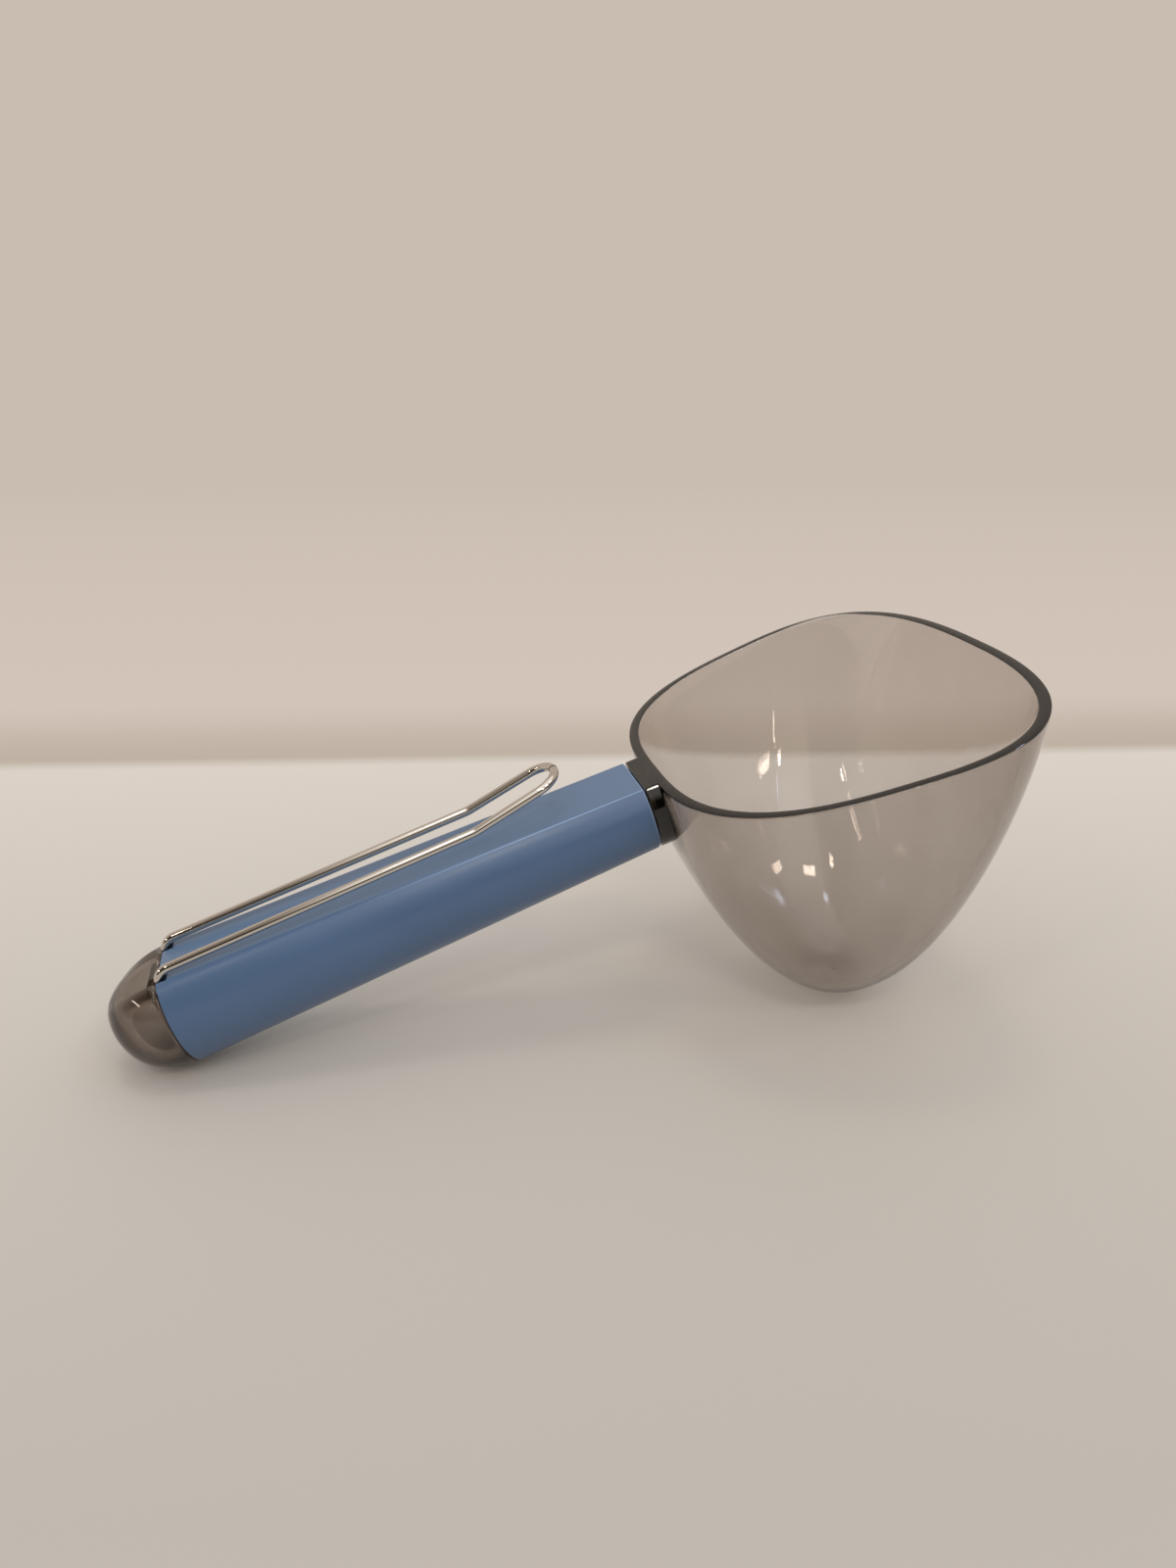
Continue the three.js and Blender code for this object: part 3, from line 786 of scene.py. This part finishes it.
# Cold-drawn stainless spring wire: a bright metal mirror with faint lines along its length from the drawing
# die, spaced wider than they are so that they show.
steel = bare_material("drawn_stainless_spring_wire")
tree = steel.node_tree
place = add_node(tree, "ShaderNodeTexCoord")
drawing = add_node(
    tree, "ShaderNodeMapping", {"vector_type": "TEXTURE"},
    values={"Rotation": lean.to_euler(), "Scale": (LINE_STRETCH, 1.0, 1.0)},
    links={"Vector": place.outputs["Object"]},
)
lines = add_node(
    tree, "ShaderNodeTexNoise",
    values={"Scale": 1 / LINE_SIZE, "Detail": 2.0},
    links={"Vector": drawing.outputs["Vector"]},
)
polish = add_node(
    tree, "ShaderNodeMapRange",
    values={"To Min": LINE_SMOOTHEST, "To Max": LINE_ROUGHEST},
    links={"Value": lines.outputs["Fac"]},
)
surface = add_node(
    tree, "ShaderNodeBsdfPrincipled",
    values={"Base Color": linear(STEEL_TONE), "Metallic": 1.0},
    links={"Roughness": polish.outputs["Result"]},
)
add_node(tree, "ShaderNodeOutputMaterial", links={"Surface": surface.outputs["BSDF"]})
finish_with(clip, steel)
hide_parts("wire_clip")
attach(clip, "clip")

# Table and wall. The table is a pale painted board whose colour carries painted light, lighter towards the
# wall, and the floor behind it has the tone of the wall that stands there, lighter low down and with painted
# shade along its foot, so that no wall hides the scoop from behind. Neither is part of the scoop.
WALL_FOOT_DISTANCE = 0.166
WALL_TURN = radians(10.6)
WALL_FOOT_BLUR = 0.010
WALL_FOOT_SHADE = 0.075
WALL_FADE = 0.8
WALL_TONE = "#C9BCB0"
WALL_LOW_TONE = "#D2C4B9"
WALL_FOOT_SHADE_TONE = "#BFB2A4"
TABLE_NEAR = -0.12
TABLE_NEAR_SHADED_TONE = "#BEB7AF"
TABLE_FAR_LIT_TONE = "#DBD3CA"
TABLE_ROUGHNESS = 0.6
FLOOR_SIZE = 8.0
FLOOR_DROP = 0.0002


def shown_to_eye(tree, path):
    """The share of a path, 0 or 1, that is seen: straight, as a reflection, or through the clear plastic."""
    seen = add_node(
        tree, "ShaderNodeMath", {"operation": "ADD"},
        links={0: path.outputs["Is Camera Ray"], 1: path.outputs["Is Glossy Ray"]},
    )
    shown = add_node(
        tree, "ShaderNodeMath", {"operation": "ADD", "use_clamp": True},
        links={0: seen.outputs["Value"], 1: path.outputs["Is Transmission Ray"]},
    )
    return shown.outputs["Value"]


ground = bmesh.new()
bmesh.ops.create_grid(ground, x_segments=1, y_segments=1, size=FLOOR_SIZE / 2)
bmesh.ops.translate(ground, vec=(0, 0, -FLOOR_DROP), verts=ground.verts)
ground_mesh = bpy.data.meshes.new("table_and_wall")
ground.to_mesh(ground_mesh)
ground.free()
floor = bpy.data.objects.new("table_and_wall", ground_mesh)
bpy.context.collection.objects.link(floor)

# Satin paint on the board. The wall's own tone glows, so that no shadow falls on it as on a floor.
paint = bare_material("painted_board_and_wall")
tree = paint.node_tree
place = add_node(tree, "ShaderNodeTexCoord")
turned = add_node(
    tree, "ShaderNodeMapping",
    values={"Rotation": (0, 0, WALL_TURN)},
    links={"Vector": place.outputs["Object"]},
)
position = add_node(tree, "ShaderNodeSeparateXYZ", links={"Vector": turned.outputs["Vector"]})
beyond = add_node(
    tree, "ShaderNodeMapRange",
    values={
        "From Min": WALL_FOOT_DISTANCE - WALL_FOOT_BLUR / 2,
        "From Max": WALL_FOOT_DISTANCE + WALL_FOOT_BLUR / 2,
    },
    links={"Value": position.outputs["Y"]},
)
# Painted shade along the wall's foot, where it meets the table.
clear_of_painted_shade = add_node(
    tree, "ShaderNodeMapRange", {"interpolation_type": "SMOOTHSTEP"},
    values={"From Min": WALL_FOOT_DISTANCE, "From Max": WALL_FOOT_DISTANCE + WALL_FOOT_SHADE},
    links={"Value": position.outputs["Y"]},
)
up_the_wall = add_node(
    tree, "ShaderNodeMapRange",
    values={"From Min": WALL_FOOT_DISTANCE + WALL_FOOT_SHADE, "From Max": WALL_FOOT_DISTANCE + WALL_FADE},
    links={"Value": position.outputs["Y"]},
)
upper_tone = add_node(
    tree, "ShaderNodeMix", {"data_type": "RGBA"},
    values={6: linear(WALL_LOW_TONE), 7: linear(WALL_TONE)},
    links={0: up_the_wall.outputs["Result"]},
)
wall_tone = add_node(
    tree, "ShaderNodeMix", {"data_type": "RGBA"},
    values={6: linear(WALL_FOOT_SHADE_TONE)},
    links={0: clear_of_painted_shade.outputs["Result"], 7: upper_tone.outputs[2]},
)
# Painted light: the table's colour grows lighter from near the camera towards the wall.
towards_wall = add_node(
    tree, "ShaderNodeMapRange",
    values={"From Min": TABLE_NEAR, "From Max": WALL_FOOT_DISTANCE},
    links={"Value": position.outputs["Y"]},
)
table_tone_with_painted_light = add_node(
    tree, "ShaderNodeMix", {"data_type": "RGBA"},
    values={6: linear(TABLE_NEAR_SHADED_TONE), 7: linear(TABLE_FAR_LIT_TONE)},
    links={0: towards_wall.outputs["Result"]},
)
path = add_node(tree, "ShaderNodeLightPath")
wall_share = add_node(
    tree, "ShaderNodeMath", {"operation": "MULTIPLY"},
    links={0: beyond.outputs["Result"], 1: shown_to_eye(tree, path)},
)
board = add_node(
    tree, "ShaderNodeBsdfPrincipled",
    values={"Roughness": TABLE_ROUGHNESS},
    links={"Base Color": table_tone_with_painted_light.outputs[2]},
)
wall = add_node(
    tree, "ShaderNodeEmission",
    values={"Strength": 1.0},
    links={"Color": wall_tone.outputs[2]},
)
both = add_node(
    tree, "ShaderNodeMixShader",
    links={0: wall_share.outputs["Value"], 1: board.outputs["BSDF"], 2: wall.outputs["Emission"]},
)
add_node(tree, "ShaderNodeOutputMaterial", links={"Surface": both.outputs["Shader"]})
finish_with(floor, paint)

# Light. An even soft light, and a room for the gloss to mirror: a pale wall ahead, a dim side behind the
# camera that is brighter above eye level, and a ceiling, lit on the cup's side. What isn't mirrored meets
# the pale wall all round. The lamps and windows show as bright spots in the cup, and a panel overhead adds
# light alone.
CEILING_TONE = "#8F867C"
LIT_CEILING_TONE = "#FFFAF2"
LIT_CEILING_GLOW = 1.15
BRIGHT_SIDE_TONE = "#C8BCAE"
DIM_SIDE_TONE = "#3E362F"
ROOM_LIGHT = 0.69
OVERHEAD_LIGHT = 0.76
DIM_SIDE_ENDS = -0.5
WALL_BEGINS = 0.3
EYE_LEVEL = 0.3
OVER_EYE_LEVEL = 0.42
LIT_SIDE_BEGINS = -0.28
LIT_SIDE_REACHED = -0.15
CEILING_UP = (0, -0.35, 1)
CEILING_BEGINS = 0.72
CEILING_REACHED = 0.85
LAMP_AIM = Vector((0.05, 0, 0.03))
LAMP_DISTANCE = 6.0
LAMP_GLOW = 24.0
LAMP_TONE = "#FFF4E6"
PANEL_GLOW = 6.9
WINDOW_GLOW = 9.0
WINDOW_TONE = "#C9DCFF"

room = bpy.data.worlds.new("pale_room")
room.use_nodes = True
tree = room.node_tree
tree.nodes.clear()
place = add_node(tree, "ShaderNodeTexCoord")
path = add_node(tree, "ShaderNodeLightPath")
direction = add_node(tree, "ShaderNodeSeparateXYZ", links={"Vector": place.outputs["Generated"]})
ahead = add_node(
    tree, "ShaderNodeMapRange", {"interpolation_type": "SMOOTHSTEP"},
    values={"From Min": DIM_SIDE_ENDS, "From Max": WALL_BEGINS},
    links={"Value": direction.outputs["Y"]},
)
not_mirrored = add_node(
    tree, "ShaderNodeMath", {"operation": "LESS_THAN"},
    values={1: 1.0},
    links={0: path.outputs["Glossy Depth"]},
)
backdrop = add_node(
    tree, "ShaderNodeMath", {"operation": "MAXIMUM"},
    links={0: ahead.outputs["Result"], 1: not_mirrored.outputs["Value"]},
)
above_eyes = add_node(
    tree, "ShaderNodeMapRange", {"interpolation_type": "SMOOTHSTEP"},
    values={"From Min": EYE_LEVEL, "From Max": OVER_EYE_LEVEL},
    links={"Value": direction.outputs["Z"]},
)
forward = add_node(
    tree, "ShaderNodeVectorMath", {"operation": "DOT_PRODUCT"},
    values={1: along_handle},
    links={0: place.outputs["Generated"]},
)
to_lamps = add_node(
    tree, "ShaderNodeMapRange", {"interpolation_type": "SMOOTHSTEP"},
    values={"From Min": LIT_SIDE_BEGINS, "From Max": LIT_SIDE_REACHED},
    links={"Value": forward.outputs["Value"]},
)
bright_side = add_node(
    tree, "ShaderNodeMath", {"operation": "MULTIPLY"},
    links={0: above_eyes.outputs["Result"], 1: to_lamps.outputs["Result"]},
)
behind = add_node(
    tree, "ShaderNodeMix", {"data_type": "RGBA"},
    values={6: linear(DIM_SIDE_TONE), 7: linear(BRIGHT_SIDE_TONE)},
    links={0: bright_side.outputs["Value"]},
)
walls = add_node(
    tree, "ShaderNodeMix", {"data_type": "RGBA"},
    values={7: linear(WALL_TONE)},
    links={0: backdrop.outputs["Value"], 6: behind.outputs[2]},
)
upward = add_node(
    tree, "ShaderNodeVectorMath", {"operation": "DOT_PRODUCT"},
    values={1: CEILING_UP},
    links={0: place.outputs["Generated"]},
)
overhead = add_node(
    tree, "ShaderNodeMapRange", {"interpolation_type": "SMOOTHSTEP"},
    values={"From Min": CEILING_BEGINS, "From Max": CEILING_REACHED},
    links={"Value": upward.outputs["Value"]},
)
ceiling = add_node(
    tree, "ShaderNodeMix", {"data_type": "RGBA"},
    values={6: linear(CEILING_TONE), 7: linear(LIT_CEILING_TONE)},
    links={0: to_lamps.outputs["Result"]},
)
sight = add_node(
    tree, "ShaderNodeMix", {"data_type": "RGBA"},
    links={0: overhead.outputs["Result"], 6: walls.outputs[2], 7: ceiling.outputs[2]},
)
lit = add_node(
    tree, "ShaderNodeMath", {"operation": "MULTIPLY"},
    links={0: overhead.outputs["Result"], 1: to_lamps.outputs["Result"]},
)
lit_glow = add_node(
    tree, "ShaderNodeMapRange",
    values={"To Min": 1.0, "To Max": LIT_CEILING_GLOW},
    links={"Value": lit.outputs["Value"]},
)
in_sight = add_node(
    tree, "ShaderNodeBackground",
    links={"Color": sight.outputs[2], "Strength": lit_glow.outputs["Result"]},
)
from_above = add_node(
    tree, "ShaderNodeMapRange",
    values={"To Min": ROOM_LIGHT, "To Max": OVERHEAD_LIGHT},
    links={"Value": direction.outputs["Z"]},
)
soft_light = add_node(
    tree, "ShaderNodeBackground",
    values={"Color": (1, 1, 1, 1)},
    links={"Strength": from_above.outputs["Result"]},
)
both = add_node(
    tree, "ShaderNodeMixShader",
    links={
        0: shown_to_eye(tree, path),
        1: soft_light.outputs["Background"],
        2: in_sight.outputs["Background"],
    },
)
add_node(tree, "ShaderNodeOutputWorld", links={"Surface": both.outputs["Shader"]})
bpy.context.scene.world = room

for name, azimuth, elevation, width, height, glow, tone in (
    ("ceiling_panel", 130, 85, 1.20, 1.20, PANEL_GLOW, LAMP_TONE),
    ("ceiling_lamp_middle", -104, 49, 1.36, 0.36, LAMP_GLOW, LAMP_TONE),
    ("ceiling_lamp_right", -62, 44, 1.00, 0.36, LAMP_GLOW, LAMP_TONE),
    ("ceiling_lamp_left", -144, 39, 0.45, 0.40, LAMP_GLOW, LAMP_TONE),
    ("far_lamp_left", -80, 24, 0.20, 0.16, LAMP_GLOW, LAMP_TONE),
    ("far_lamp_middle", -75, 19.5, 0.16, 0.32, LAMP_GLOW, LAMP_TONE),
    ("far_lamp_right", -70, 23, 0.28, 0.16, LAMP_GLOW, LAMP_TONE),
    ("side_lamp", -168, 18, 2.60, 0.08, LAMP_GLOW, LAMP_TONE),
    ("window_right", -33, 51, 0.80, 0.64, WINDOW_GLOW, WINDOW_TONE),
    ("window_left", -137, 57, 0.60, 0.48, WINDOW_GLOW, WINDOW_TONE),
    ("far_window", -77, 28, 0.20, 0.48, WINDOW_GLOW, WINDOW_TONE),
):
    lamp = bpy.data.lights.new(name, "AREA")
    lamp.shape = "RECTANGLE"
    lamp.size = width
    lamp.size_y = height
    lamp.energy = glow * pi * width * height
    lamp.color = linear(tone)[:3]
    holder = bpy.data.objects.new(name, lamp)
    turn, rise = radians(azimuth), radians(elevation)
    towards = Vector((cos(turn) * cos(rise), sin(turn) * cos(rise), sin(rise)))
    holder.location = LAMP_AIM + towards * LAMP_DISTANCE
    holder.rotation_euler = towards.to_track_quat("Z", "Y").to_euler()
    holder.visible_camera = False
    holder.visible_glossy = name != "ceiling_panel"
    holder.visible_transmission = name != "ceiling_panel"
    bpy.context.collection.objects.link(holder)

# Camera, where the photographer held it: a little above the scoop and behind its middle, looking down.
CAMERA_PLACE = (-0.0450, -0.2220, 0.1460)
CAMERA_PITCH = radians(21.75)
CAMERA_YAW = radians(13.16)
FOCAL_PIXELS = 1164.2
PHOTO_HEIGHT = 1600
SENSOR_HEIGHT = 36.0
NEAREST_SEEN = 0.01

lens = bpy.data.cameras.new("camera")
lens.sensor_fit = "VERTICAL"
lens.sensor_height = SENSOR_HEIGHT
lens.lens = FOCAL_PIXELS / PHOTO_HEIGHT * SENSOR_HEIGHT
lens.clip_start = NEAREST_SEEN
camera = bpy.data.objects.new("camera", lens)
camera.location = CAMERA_PLACE
camera.rotation_euler = (pi / 2 - CAMERA_PITCH, 0, -CAMERA_YAW)
bpy.context.collection.objects.link(camera)
bpy.context.scene.camera = camera
bpy.context.scene.view_settings.view_transform = "Standard"
